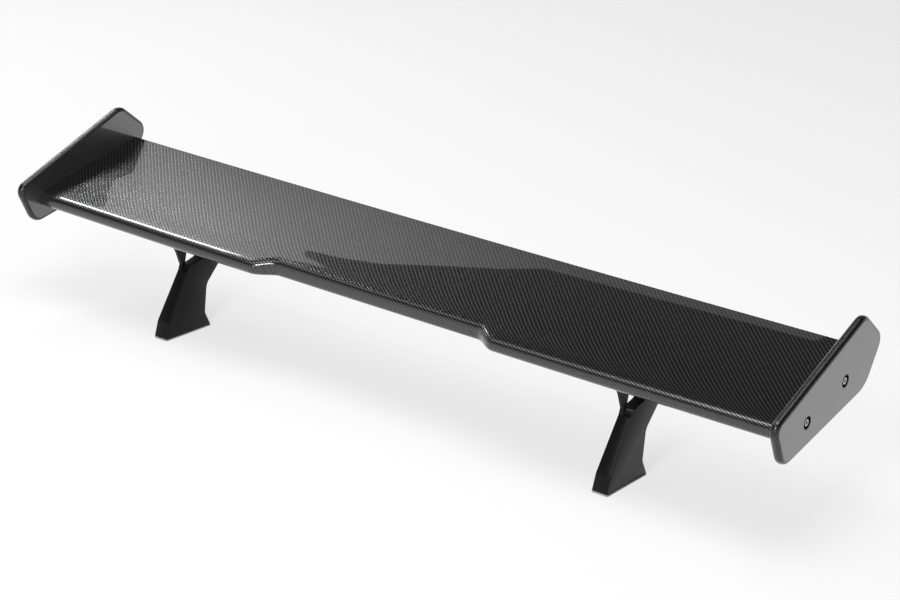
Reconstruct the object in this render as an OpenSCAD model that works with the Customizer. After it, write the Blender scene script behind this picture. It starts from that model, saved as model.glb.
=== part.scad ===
// Racing rear wing: a hollow two-skin aerofoil on two boot-lid stands, closed by two end plates.
// +X runs across the car, +Y to the rear and +Z up. The origin is the centre of the boot-lid bolt
// pattern, on the plane that the foot gaskets rest on.

/* [Wing] */
// Overall width, over the outer faces of the end plates
span = 1440; // [1300:10:1600]
// Straight distance from the nose to the trailing edge at the tips
chord = 240; // [220:1:265]
// Nose-down angle of the chord at the tips
pitch = 16; // [10:0.2:18]
// Height of the nose line above the boot lid
nose_z = 173.6; // [168:0.2:230]
// How far the nose at the tips stands ahead of the bolt pattern
nose_ahead = 59; // [50:1:68]
// Greatest thickness of the section
section_t = 28.6; // [25:0.2:34]
// Where along the chord the section is thickest, as a fraction of the chord
thickest_at = 0.3; // [0.25:0.01:0.4]
// How far the middle of the mean line hangs below the chord
camber = 3.6; // [0:0.2:7]
// Thickness of the trailing edge
tail_t = 3; // [2:0.2:4]
// Wall of the two moulded skins
skin_t = 2; // [1.4:0.1:3]
// How far the middle of the wing bows ahead of its tips
bow = 7.4; // [0:0.2:14]

/* [Leading-edge recess] */
// How far the middle of the nose is set back
recess_depth = 23; // [0:1:36]
// Half the length of the part that is set back all the way
recess_half = 190; // [140:2:240]
// Length over which the nose sweeps back
recess_sweep = 44; // [30:2:90]
// Where along the chord the recess has run out, as a fraction of the chord
recess_reach = 0.4; // [0.36:0.02:0.6]
// Share of its thickness that the set-back nose loses
recess_thin = 0.25; // [0:0.05:0.4]

/* [Inside the wing] */
// Thickness of the two spar webs
web_t = 4; // [2.5:0.5:6]
// Front web, behind the nose at the tips
front_web_at = 55; // [48:1:60]
// Rear web, behind the nose at the tips
rear_web_at = 160; // [150:1:175]
// Thickness of the ribs that close the tips
tip_rib_t = 20; // [18:1:30]
// Thickness of the ribs beside the recess
inner_rib_t = 6; // [4:1:10]
// Width of the blocks above the stands
block_w = 46; // [34:1:70]

/* [End plates] */
// Thickness of an end plate
plate_t = 14; // [13:0.5:20]
// Rounding along the rim of an end plate
rim_r = 6; // [2:0.5:6]
// Front top corner, ahead of the nose
plate_front = 46; // [30:1:70]
// Front top corner, above the nose
plate_front_rise = 31; // [20:1:45]
// Front lower corner, ahead of the nose
plate_toe = 9; // [0:1:30]
// Front lower corner, below the nose
plate_toe_drop = 38; // [30:1:60]
// Rear top corner, ahead of the trailing edge
plate_crest = 35; // [20:1:60]
// Rear top corner, above the trailing edge
plate_crest_rise = 64; // [45:1:90]
// Rear corner, behind the trailing edge
plate_tail = 29; // [12:1:40]
// Rear corner, above the trailing edge
plate_tail_rise = 16; // [8:1:30]
// Rear lower corner, ahead of the trailing edge
plate_heel = 10; // [0:1:30]
// Rear lower corner, below the trailing edge
plate_heel_drop = 54; // [40:1:70]
// Radii of the outline: front top, front lower, rear lower, rear, crest
plate_radii = [17, 26, 46, 22, 26];
// Front plate screw, behind the nose along the chord
plate_screw_front = 48.5; // [36:0.5:60]
// Rear plate screw, behind the nose along the chord
plate_screw_rear = 157; // [120:1:160]

/* [Stands] */
// Distance between the two stands
stand_spacing = 860; // [700:10:1000]
// Length of a foot
foot_len = 106; // [96:1:130]
// Width of a foot
foot_w = 26.4; // [22:0.2:34]
// Width of the neck above the shoulder
neck_w = 18.8; // [17:0.2:22]
// Height of the upright plinth at the front of a foot
plinth_h = 27; // [15:1:40]
// How far the top of the plinth leans back
plinth_lean = 6; // [2:1:12]
// Height of the shoulder, where the taper ends
shoulder_h = 104.4; // [90:0.2:112]
// Distance of the shoulder behind the toe of the foot
shoulder_back = 49.5; // [40:0.5:56]
// Height of the throat, where the front arm turns forward
throat_rise = 9.6; // [5:0.2:15]
// How far the bend of the front arm stands ahead of the shoulder
bend_ahead = 8.5; // [4:0.5:12]
// Height of the bend of the front arm above the shoulder
bend_rise = 35.6; // [30:0.2:42]
// Height of the heel kink above the sole
heel_h = 24; // [20:1:32]
// How far the heel kink is set in from the end of the foot
heel_in = 13; // [6:0.5:15]
// Height of the waist above the sole
waist_h = 73; // [60:1:80]
// How far the waist is set in from the end of the foot
waist_in = 8; // [2:0.5:10]
// Height of the knee, where the rear arm turns up
knee_h = 113; // [105:1:125]
// How far the knee stands behind the end of the foot
knee_out = 32; // [26:1:50]
// Thickness of the front arm, which is a blade on one side
arm_t = 7; // [5:0.2:9]
// Thickness of the rail below its saddle
rail_t = 8; // [6:0.5:12]
// Corners of the side of a stand: sole, heel, waist, knee, bend, throat, shoulder, plinth
stand_radii = [2, 12, 20, 24, 30, 3, 12, 16];
// Start of the rail, behind the nose along the chord
rail_from = 31; // [24:1:45]
// End of the rail, behind the nose along the chord
rail_to = 172; // [165:1:185]
// Start of the window under the rail, behind the nose along the chord
window_from = 73; // [66:1:76]
// End of the window under the rail, behind the nose along the chord
window_to = 141; // [138:1:150]
// Front corner of the window's sill, behind the shoulder
sill_back = 8.5; // [7.5:0.5:12]
// Front corner of the window's sill, above the shoulder
sill_rise = 8; // [6:0.5:14]
// Length over which the sill rises to the rear arm
sill_len = 28; // [20:1:34]
// How much the sill rises
sill_lift = 7; // [0:1:12]
// Lower end of the window's rear side: how far ahead of its top, and how far below
window_heel = [6, 40];
// Corners of the window: front sill, rear sill, rear arm, top
window_radii = [2, 30, 16, 6];

/* [Fasteners and pads] */
// Distance between the two foot bolts of a stand
foot_bolt_pitch = 70; // [50:1:74]
// Front stand bolt, behind the nose along the chord
stand_bolt_front = 84; // [82:1:92]
// Rear stand bolt, behind the nose along the chord
stand_bolt_rear = 128; // [118:1:130]
// Thread size of all bolts
bolt_d = 6; // [5:1:6]
// Outer diameter of the threaded inserts
insert_d = 9; // [8:0.5:10]
// Length of the threaded inserts
insert_len = 14; // [10:1:15]
// Diameter of the recess around a plate screw
cup_d = 20; // [16:0.5:22]
// Depth of the recess around a plate screw
cup_depth = 8; // [7:0.5:9]
// Wall of the cup washers and thickness of the plain washers
washer_t = 1.2; // [0.8:0.1:1.6]
// Thickness of the gaskets under the feet
gasket_t = 2; // [1:0.5:5]
// How far a gasket stands out around its foot
gasket_lip = 0.8; // [0:0.2:2]
// Thickness of the pads between the stands and the wing, at their thinnest
pad_t = 2; // [1:0.5:4]

/* [Hidden] */

carbon = "#26272a";
stand_black = "#17181a";
steel = "#b9bcc2";
brass = "#b9975a";
rubber = "#303236";
laminate = "#4a4a42";

left = -1;
right = 1;
tip_x = span / 2 - plate_t;
inner_x = tip_x - tip_rib_t;
rib_x = recess_half + recess_sweep + inner_rib_t;
stand_x = stand_spacing / 2;
front_web_y = front_web_at - nose_ahead;
rear_web_y = rear_web_at - nose_ahead;

// Clearances
slip = 0.05;
hole_clear = 0.6;
cup_clear = 0.2;

// Screw heads
head_d = bolt_d * 5 / 3;
head_h = bolt_d;
hex_d = bolt_d * 0.96;
hex_depth = head_h / 2;
washer_d = bolt_d * 2;
tap_d = bolt_d * 5 / 6;
hole_d = bolt_d + hole_clear;

// Smoothness
nose_points = 18;
arc_points = 6;
middle_stations = 4;
sweep_stations = 8;
outer_stations = 4;
saddle_points = 12;
round_fn = 40;

// ---------------------------------------------------------------- plain geometry

function unit(v) = v / norm(v);
function turn(v, a) = [v[0] * cos(a) - v[1] * sin(a), v[0] * sin(a) + v[1] * cos(a)];
function half_angle(a, b, c) = acos(unit(a - b) * unit(c - b)) / 2;
function corner_centre(a, b, c, r) =
    b + unit(unit(a - b) + unit(c - b)) * r / sin(half_angle(a, b, c));

// The corner a-b-c as an arc of radius r
function corner_arc(a, b, c, r) =
    let (
        middle = corner_centre(a, b, c, r),
        first = b + unit(a - b) * r / tan(half_angle(a, b, c)) - middle,
        sweep = 180 - 2 * half_angle(a, b, c),
        way = cross(b - a, c - b) > 0 ? 1 : -1
    )
    [for (i = [0:arc_points]) middle + turn(first, way * sweep * i / arc_points)];

// A closed outline with its corners rounded to the given radii; 0 keeps a corner sharp
function rounded(points, radii) =
    let (n = len(points))
    [for (i = [0:n - 1])
        each (radii[i] == 0
            ? [points[i]]
            : corner_arc(points[(i + n - 1) % n], points[i], points[(i + 1) % n], radii[i]))];

// Draws a Y-Z outline and gives it a thickness along X, from x to x + t
module across(x, t) {
    translate([x, 0, 0])
        rotate([90, 0, 90])
            linear_extrude(t)
                children();
}

// Lofts equal closed rings of 3-D points, in order, into one solid
module loft(rings) {
    n = len(rings[0]);
    last = len(rings) - 1;
    sides = [for (j = [0:last - 1], i = [0:n - 1])
        let (k = (i + 1) % n, a = j * n, b = (j + 1) * n)
        each [[a + i, b + k, b + i], [a + i, a + k, b + k]]];
    polyhedron(
        points = [for (ring = rings) each ring],
        faces = concat(sides, [[for (i = [n - 1:-1:0]) i], [for (i = [0:n - 1]) last * n + i]]));
}

// ---------------------------------------------------------------- aerofoil

function smooth(t) = t * t * (3 - 2 * t);
function sweep_part(x) = min(1, max(0, (abs(x) - recess_half) / recess_sweep));
function bow_at(x) = bow * (1 - pow(x / tip_x, 2));

// The point at distance u along the chord and w above it, in the section at x without the recess
function on_section(x, u, w) = [-nose_ahead - bow_at(x), nose_z] + turn([u, w], pitch);

// How much of the recess is felt at x and at the fraction s of the chord: all of it is 1
function recess_share(x, s) = (1 - smooth(sweep_part(x))) * pow(max(0, 1 - s / recess_reach), 2);

// Mean line and half thickness at the fraction s of the chord, without the recess.
// The nose is a blunt curve of the sixth power, and the tail a parabola.
function mean_line(s) = -4 * camber * s * (1 - s);
function half_t(s) =
    s < thickest_at
        ? section_t / 2 * sqrt(1 - pow(1 - s / thickest_at, 6))
        : tail_t / 2 + (section_t - tail_t) / 2 * (1 - pow((s - thickest_at) / (1 - thickest_at), 2));

// Height of a skin above the chord at the fraction s: side is 1 above and -1 below, and
// depth is how far inside the outer face
function skin_w(x, s, side, depth) =
    mean_line(s) + side * (half_t(s) * (1 - recess_thin * recess_share(x, s)) - depth);

// The point at the fraction s and w above the chord, moved straight back by the recess
function skin_point(x, s, w) =
    let (p = on_section(x, s * chord, w))
    [x, p[0] + recess_depth * recess_share(x, s), p[1]];

// Fractions of the chord between two ends, close together at the nose
function fractions(from, to) =
    [for (i = [0:nose_points]) from + (to - from) * (1 - cos(90 * i / nose_points))];

// The hollow starts behind the nose and ends where the two walls would meet. The recess pushes
// the nose together, so its start is two walls behind the nose, and one in the recess.
tail_wall = max(0.6, 1.3 * skin_t - tail_t / 2);
cavity_to = thickest_at + (1 - thickest_at) * sqrt(1 - tail_wall / ((section_t - tail_t) / 2));
cavity_from = 2 * skin_t / chord;

// One face of the section at x as 3-D points, from the nose end to the tail end
function skin_line(x, side, depth, from, to) =
    [for (s = fractions(from, to)) skin_point(x, s, skin_w(x, s, side, depth))];

function reversed(list) = [for (i = [len(list) - 1:-1:0]) list[i]];
function without_first(list) = [for (i = [1:len(list) - 1]) list[i]];
// Equal steps from one place to another, without the last
function evenly(from, to, steps) = [for (i = [0:steps - 1]) from + (to - from) * i / steps];
function mean_point(x, s) = skin_point(x, s, mean_line(s));

// Places along the half span where a section is drawn, among them the faces of all that is inside
half_stations = concat(
    [for (i = [0:middle_stations - 1]) recess_half * i / middle_stations],
    [for (i = [0:sweep_stations - 1]) recess_half + recess_sweep * i / sweep_stations],
    evenly(recess_half + recess_sweep, rib_x - inner_rib_t / 2, 1),
    evenly(rib_x - inner_rib_t / 2, rib_x + inner_rib_t / 2, 1),
    evenly(rib_x + inner_rib_t / 2, stand_x - block_w / 2, outer_stations),
    evenly(stand_x - block_w / 2, stand_x + block_w / 2, 1),
    evenly(stand_x + block_w / 2, inner_x, outer_stations),
    [inner_x, tip_x]);
stations = concat(-reversed(without_first(half_stations)), half_stations);

// Ring of the hollow
function cavity_ring(x) =
    concat(skin_line(x, 1, skin_t, cavity_from, cavity_to),
        reversed(skin_line(x, -1, skin_t, cavity_from, cavity_to)));

// Ring of one skin, which meets the other skin on the mean line at the nose and at the tail
function skin_ring(x, side) =
    let (
        outside = skin_line(x, side, 0, 0, 1),
        inside = skin_line(x, side, skin_t, cavity_from, cavity_to),
        ring = concat(outside, [mean_point(x, 1), mean_point(x, cavity_to)],
            reversed(inside), [mean_point(x, cavity_from)])
    )
    side > 0 ? ring : reversed(ring);

// The hollow between two stations
module cavity(x_from, x_to) {
    loft([for (x = stations) if (x > x_from - slip && x < x_to + slip) cavity_ring(x)]);
}

// The part of the hollow between two stations and two Y planes
module filler(x_from, x_to, y_from, y_to) {
    intersection() {
        cavity(x_from, x_to);
        translate([x_from - 1, y_from, 0])
            cube([x_to - x_from + 2, y_to - y_from, nose_z + chord]);
    }
}

// ---------------------------------------------------------------- screws and inserts

// Socket-head screw: the seat of the head is at z = 0 and the shank runs down
module screw(length) {
    difference() {
        cylinder(d = head_d, h = head_h, $fn = round_fn);
        translate([0, 0, head_h - hex_depth])
            cylinder(d = hex_d, h = head_h, $fn = 6);
    }
    translate([0, 0, -length])
        cylinder(d = tap_d - 2 * slip, h = length, $fn = round_fn);
}

// Plain washer below z = 0
module washer() {
    translate([0, 0, -washer_t])
        difference() {
            cylinder(d = washer_d, h = washer_t, $fn = round_fn);
            translate([0, 0, -1])
                cylinder(d = hole_d, h = washer_t + 2, $fn = round_fn);
        }
}

// Threaded insert that runs down from z = 0
module insert(length) {
    translate([0, 0, -length])
        difference() {
            cylinder(d = insert_d, h = length, $fn = round_fn);
            translate([0, 0, -1])
                cylinder(d = tap_d, h = length + 2, $fn = round_fn);
        }
}

// Cup washer below z = 0: a base with a wall that lines the recess
module cup_washer() {
    translate([0, 0, -cup_depth])
        difference() {
            cylinder(d = cup_d - 2 * cup_clear, h = cup_depth, $fn = round_fn);
            translate([0, 0, washer_t])
                cylinder(d = cup_d - 2 * cup_clear - 2 * washer_t, h = cup_depth, $fn = round_fn);
            translate([0, 0, -1])
                cylinder(d = hole_d, h = cup_depth, $fn = round_fn);
        }
}

// ---------------------------------------------------------------- places of the fasteners

// Puts children at the two plate screws, on the outer face of an end plate, with +Z outwards
module at_plate_screws(side) {
    for (u = [plate_screw_front, plate_screw_rear]) {
        p = on_section(tip_x, u, 0);
        translate([side * span / 2, p[0], p[1]])
            rotate([0, side * 90, 0])
                children();
    }
}

// Puts children at the two stand bolts, on the chord of the wing, with +Z down and square to it
module at_stand_bolts(side) {
    for (u = [stand_bolt_front, stand_bolt_rear]) {
        p = on_section(stand_x, u, 0);
        translate([side * stand_x, p[0], p[1]])
            rotate([pitch + 180, 0, 0])
                children();
    }
}

// Puts children at the two foot bolts, on the plane that the gaskets rest on
module at_foot_bolts(side) {
    for (end = [-1, 1])
        translate([side * stand_x, end * foot_bolt_pitch / 2, 0])
            children();
}

// Distances below the chord, at the stands
lowest_w = section_t / 2 + camber;
rail_w = lowest_w + pad_t + rail_t;
block_floor_w = lowest_w - skin_t - 1;

// ---------------------------------------------------------------- wing

module wing_upper_skin() {
    color(carbon)
        loft([for (x = stations) skin_ring(x, 1)]);
}

module wing_lower_skin() {
    color(carbon)
        difference() {
            loft([for (x = stations) skin_ring(x, -1)]);
            for (side = [left, right])
                at_stand_bolts(side)
                    cylinder(d = hole_d, h = 2 * lowest_w, $fn = round_fn);
        }
}

module front_spar() {
    color(laminate)
        filler(-inner_x, inner_x, front_web_y, front_web_y + web_t);
}

module rear_spar() {
    color(laminate)
        filler(-inner_x, inner_x, rear_web_y, rear_web_y + web_t);
}

module tip_rib(side) {
    color(laminate)
        difference() {
            cavity(side > 0 ? inner_x : -tip_x, side > 0 ? tip_x : -inner_x);
            at_plate_screws(side)
                translate([0, 0, -plate_t - insert_len])
                    cylinder(d = insert_d, h = plate_t + insert_len, $fn = round_fn);
            at_plate_screws(side)
                translate([0, 0, -plate_t - tip_rib_t + 1])
                    cylinder(d = hole_d, h = tip_rib_t, $fn = round_fn);
        }
}

// A rib beside the recess, in three pieces around the two webs
module inner_ribs(side) {
    start = side * rib_x - inner_rib_t / 2;
    color(laminate) {
        filler(start, start + inner_rib_t, -chord, front_web_y);
        filler(start, start + inner_rib_t, front_web_y + web_t, rear_web_y);
        filler(start, start + inner_rib_t, rear_web_y + web_t, 2 * chord);
    }
}

module stand_block(side) {
    color(laminate)
        difference() {
            filler(side * stand_x - block_w / 2, side * stand_x + block_w / 2,
                front_web_y + web_t, rear_web_y);
            at_stand_bolts(side) {
                translate([0, 0, block_floor_w - insert_len])
                    cylinder(d = insert_d, h = insert_len, $fn = round_fn);
                translate([0, 0, block_floor_w - insert_len - 2])
                    cylinder(d = hole_d, h = 2 * lowest_w, $fn = round_fn);
            }
        }
}

module tip_inserts(side) {
    color(brass)
        at_plate_screws(side)
            translate([0, 0, -plate_t])
                insert(insert_len);
}

module stand_inserts(side) {
    color(brass)
        at_stand_bolts(side)
            translate([0, 0, block_floor_w])
                insert(insert_len);
}

// ---------------------------------------------------------------- end plates

tail_tip = on_section(tip_x, chord, 0);
nose_tip = on_section(tip_x, 0, 0);
plate_corners = [
    nose_tip + [-plate_front, plate_front_rise],
    nose_tip + [-plate_toe, -plate_toe_drop],
    tail_tip + [-plate_heel, -plate_heel_drop],
    tail_tip + [plate_tail, plate_tail_rise],
    tail_tip + [-plate_crest, plate_crest_rise],
];

// Disc with a rounded rim, centred on z = 0
module rim_disc(r) {
    rim = [for (i = [0:arc_points]) rim_r * [cos(90 * i / arc_points), sin(90 * i / arc_points)]];
    upper = [for (p = rim) [r - rim_r + p[0], plate_t / 2 - rim_r + p[1]]];
    rotate_extrude($fn = 32)
        polygon(concat([[0, -plate_t / 2]], [for (p = reversed(upper)) [p[0], -p[1]]], upper,
            [[0, plate_t / 2]]));
}

module plate_blank() {
    n = len(plate_corners);
    hull()
        for (i = [0:n - 1])
            translate(corner_centre(plate_corners[(i + n - 1) % n], plate_corners[i],
                plate_corners[(i + 1) % n], plate_radii[i]))
                rim_disc(plate_radii[i]);
}

module end_plate(side) {
    color(carbon)
        difference() {
            translate([side * (span - plate_t) / 2, 0, 0])
                rotate([90, 0, 90])
                    plate_blank();
            at_plate_screws(side) {
                translate([0, 0, -cup_depth])
                    cylinder(d = cup_d, h = cup_depth + 1, $fn = round_fn);
                translate([0, 0, -plate_t - 1])
                    cylinder(d = hole_d, h = plate_t + 2, $fn = round_fn);
            }
        }
}

module plate_cup_washers(side) {
    color(stand_black)
        at_plate_screws(side)
            cup_washer();
}

module plate_screws(side) {
    color(steel)
        at_plate_screws(side)
            translate([0, 0, washer_t - cup_depth])
                screw(plate_t - cup_depth + insert_len);
}

// ---------------------------------------------------------------- stands

// A point behind the toe of the foot and above its sole
function on_stand(back, up) = [back - foot_len / 2, up + gasket_t];

shoulder = on_stand(shoulder_back, shoulder_h);
sill = shoulder + [sill_back, sill_rise];

// The underside of the wing at x over the length of the rail, moved down by a gap
function underside(x, gap) =
    [for (i = [0:saddle_points])
        let (u = rail_from + (rail_to - rail_from) * i / saddle_points)
        on_section(x, u, skin_w(x, u / chord, -1, -gap))];

// The top of the rail, which runs along the underside below the pad
saddle = underside(stand_x, pad_t);

stand_outline = rounded(
    concat(
        [on_stand(0, 0), on_stand(foot_len, 0), on_stand(foot_len - heel_in, heel_h),
            on_stand(foot_len - waist_in, waist_h), on_stand(foot_len + knee_out, knee_h)],
        reversed(saddle),
        [shoulder + [-bend_ahead, bend_rise], shoulder + [plinth_lean / 2, throat_rise],
            shoulder, on_stand(plinth_lean, plinth_h)]),
    concat([for (i = [0, 0, 1, 2, 3]) stand_radii[i]],
        [for (p = saddle) 0],
        [for (i = [4:7]) stand_radii[i]]));

window_rear = on_section(stand_x, window_to, -rail_w);
window_outline = rounded(
    [sill,
        sill + [sill_len, sill_lift],
        window_rear - window_heel,
        window_rear,
        on_section(stand_x, window_from, -rail_w)],
    [for (i = [0, 1, 2, 3, 3]) window_radii[i]]);

// Beside the blade of the front arm, between the shoulder and the rail
blade_outline = [
    shoulder - [foot_len, 0],
    shoulder,
    sill,
    on_section(stand_x, window_from + 10, -rail_w),
    on_section(stand_x, -foot_len, -rail_w),
];

front_outline = [
    [-foot_w / 2, 0],
    [foot_w / 2, 0],
    [neck_w / 2, shoulder_h + gasket_t],
    [neck_w / 2, nose_z + chord],
    [-neck_w / 2, nose_z + chord],
    [-neck_w / 2, shoulder_h + gasket_t],
];

module stand(side) {
    color(stand_black)
        difference() {
            intersection() {
                across(side * stand_x - foot_w / 2, foot_w)
                    polygon(stand_outline);
                translate([side * stand_x, foot_len * 2, 0])
                    rotate([90, 0, 0])
                        linear_extrude(foot_len * 4)
                            polygon(front_outline);
            }
            across(side * stand_x - foot_w, 2 * foot_w)
                polygon(window_outline);
            across(side * stand_x - neck_w / 2 + arm_t, foot_w)
                polygon(blade_outline);
            at_stand_bolts(side)
                cylinder(d = hole_d, h = 2 * rail_w, $fn = round_fn);
            at_foot_bolts(side) {
                cylinder(d = insert_d, h = gasket_t + insert_len, $fn = round_fn);
                cylinder(d = hole_d, h = gasket_t + insert_len + 3, $fn = round_fn);
            }
        }
}

// The pad fills the gap between the rail and the wing, just clear of the wing
module saddle_pad(side) {
    color(rubber)
        difference() {
            across(side * stand_x - neck_w / 2, neck_w)
                polygon(concat(reversed(saddle), underside(stand_x, slip)));
            at_stand_bolts(side)
                cylinder(d = hole_d, h = 2 * rail_w, $fn = round_fn);
        }
}

module stand_washers(side) {
    color(steel)
        at_stand_bolts(side)
            translate([0, 0, rail_w + washer_t])
                washer();
}

module stand_bolts(side) {
    color(steel)
        at_stand_bolts(side)
            translate([0, 0, rail_w + washer_t])
                screw(rail_w + washer_t - block_floor_w + insert_len - 1);
}

module foot_inserts(side) {
    color(brass)
        at_foot_bolts(side)
            translate([0, 0, gasket_t + insert_len])
                insert(gasket_t + insert_len);
}

module foot_gasket(side) {
    corner_r = 3;
    size = [foot_w + 2 * gasket_lip, foot_len + 2 * gasket_lip] / 2;
    corners = [[-size[0], -size[1]], [size[0], -size[1]], [size[0], size[1]], [-size[0], size[1]]];
    color(rubber)
        difference() {
            translate([side * stand_x, 0, 0])
                linear_extrude(gasket_t)
                    polygon(rounded(corners, [for (c = corners) corner_r]));
            at_foot_bolts(side)
                translate([0, 0, -1])
                    cylinder(d = insert_d + hole_clear, h = gasket_t + 2, $fn = round_fn);
        }
}

wing_upper_skin();
wing_lower_skin();
front_spar();
rear_spar();
tip_rib(left);  // tip_rib_left
tip_rib(right);  // tip_rib_right
inner_ribs(left);  // inner_ribs_left
inner_ribs(right);  // inner_ribs_right
stand_block(left);  // stand_block_left
stand_block(right);  // stand_block_right
tip_inserts(left);  // tip_inserts_left
tip_inserts(right);  // tip_inserts_right
stand_inserts(left);  // stand_inserts_left
stand_inserts(right);  // stand_inserts_right
end_plate(left);  // end_plate_left
end_plate(right);  // end_plate_right
plate_cup_washers(left);  // plate_cup_washers_left
plate_cup_washers(right);  // plate_cup_washers_right
plate_screws(left);  // plate_screws_left
plate_screws(right);  // plate_screws_right
stand(left);  // stand_left
stand(right);  // stand_right
saddle_pad(left);  // saddle_pad_left
saddle_pad(right);  // saddle_pad_right
stand_washers(left);  // stand_washers_left
stand_washers(right);  // stand_washers_right
stand_bolts(left);  // stand_bolts_left
stand_bolts(right);  // stand_bolts_right
foot_inserts(left);  // foot_inserts_left
foot_inserts(right);  // foot_inserts_right
foot_gasket(left);  // foot_gasket_left
foot_gasket(right);  // foot_gasket_right
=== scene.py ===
"""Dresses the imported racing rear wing: smooth skins, end plates, stands, fasteners and their finishes.

Every length is in metres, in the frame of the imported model: +X across the car, +Y to the rear, +Z up.
"""
import logging
import math
from dataclasses import dataclass, field
from enum import Enum
from typing import Any, Iterable, Optional, Sequence, Union

import bmesh
import bpy
from mathutils import Euler, Matrix, Vector


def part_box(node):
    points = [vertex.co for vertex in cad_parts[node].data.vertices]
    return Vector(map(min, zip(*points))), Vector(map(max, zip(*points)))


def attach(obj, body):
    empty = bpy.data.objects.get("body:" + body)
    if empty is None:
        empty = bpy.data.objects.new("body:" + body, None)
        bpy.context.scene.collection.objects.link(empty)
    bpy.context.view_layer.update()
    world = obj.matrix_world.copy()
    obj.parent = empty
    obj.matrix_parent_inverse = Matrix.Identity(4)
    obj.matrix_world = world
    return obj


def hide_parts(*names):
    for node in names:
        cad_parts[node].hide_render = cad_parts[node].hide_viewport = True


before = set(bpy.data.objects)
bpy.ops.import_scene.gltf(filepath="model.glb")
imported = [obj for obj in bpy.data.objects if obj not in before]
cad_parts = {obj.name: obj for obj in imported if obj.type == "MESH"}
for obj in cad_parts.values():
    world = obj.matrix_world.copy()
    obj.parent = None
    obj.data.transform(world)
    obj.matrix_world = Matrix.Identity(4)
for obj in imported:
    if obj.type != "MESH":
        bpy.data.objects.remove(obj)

LOG = logging.getLogger("rear_wing")
BODY = "root"

Point2 = tuple[float, float]
Point3 = tuple[float, float, float]
Ring = list[Point3]


class Side(Enum):
    """A side of the car, as the sign of X."""

    LEFT = -1
    RIGHT = 1

    @property
    def word(self) -> str:
        """The side's name, as the nodes' names end."""
        return self.name.lower()


class Skin(Enum):
    """One of the two moulded skins, as the sign of its height above the mean line."""

    LOWER = -1
    UPPER = 1

    @property
    def node(self) -> str:
        """The name of the skin's solid."""
        return f"wing_{self.name.lower()}_skin"


# ------------------------------------------------------------------------------ shader graph


class Value:
    """A socket of a node tree that can be reckoned with: each operator adds a Math node."""

    def __init__(self, graph: "Graph", socket: bpy.types.NodeSocket) -> None:
        """Wraps a socket.

        Args:
            graph: The graph that holds the socket's node.
            socket: An output socket that carries a number.
        """
        self.graph = graph
        self.socket = socket

    def _math(self, operation: str, *operands: Any) -> "Value":
        """Adds a Math node.

        Args:
            operation: The node's operation.
            operands: Numbers or Values, in the order of the node's inputs.

        Returns:
            The node's result.
        """
        inputs = dict(enumerate(operands))
        return self.graph.node("ShaderNodeMath", {"operation": operation}, inputs).value()

    def __add__(self, other: Any) -> "Value":
        """This plus other."""
        return self._math("ADD", self, other)

    __radd__ = __add__

    def __sub__(self, other: Any) -> "Value":
        """This minus other."""
        return self._math("SUBTRACT", self, other)

    def __rsub__(self, other: Any) -> "Value":
        """Other minus this."""
        return self._math("SUBTRACT", other, self)

    def __mul__(self, other: Any) -> "Value":
        """This times other."""
        return self._math("MULTIPLY", self, other)

    __rmul__ = __mul__

    def __truediv__(self, other: Any) -> "Value":
        """This over other."""
        return self._math("DIVIDE", self, other)

    def __mod__(self, other: Any) -> "Value":
        """This modulo other, never negative."""
        return self._math("FLOORED_MODULO", self, other)

    def __lt__(self, other: Any) -> "Value":
        """1 where this is less than other, and 0 elsewhere."""
        return self._math("LESS_THAN", self, other)

    def floor(self) -> "Value":
        """The whole part."""
        return self._math("FLOOR", self)

    def fraction(self) -> "Value":
        """The part after the point."""
        return self._math("FRACT", self)

    def sine(self) -> "Value":
        """The sine, of radians."""
        return self._math("SINE", self)

    def least(self, other: Any) -> "Value":
        """The lesser of this and other."""
        return self._math("MINIMUM", self, other)

    def most(self, other: Any) -> "Value":
        """The greater of this and other."""
        return self._math("MAXIMUM", self, other)

    def choose(self, there: Any, here: Any) -> "Value":
        """Blends two values with this as the mask.

        Args:
            there: The value where this is 1.
            here: The value where this is 0.

        Returns:
            The blend.
        """
        return self * there + (1 - self) * here


class Placed:
    """A node that was added to a graph."""

    def __init__(self, graph: "Graph", node: bpy.types.Node) -> None:
        """Wraps a node.

        Args:
            graph: The graph that holds the node.
            node: The node.
        """
        self.graph = graph
        self.node = node

    def output(self, name: Union[str, int] = 0) -> bpy.types.NodeSocket:
        """An output socket, by name or place."""
        return self.node.outputs[name]

    def value(self, name: Union[str, int] = 0) -> Value:
        """An output socket to reckon with, by name or place."""
        return Value(self.graph, self.node.outputs[name])


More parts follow.
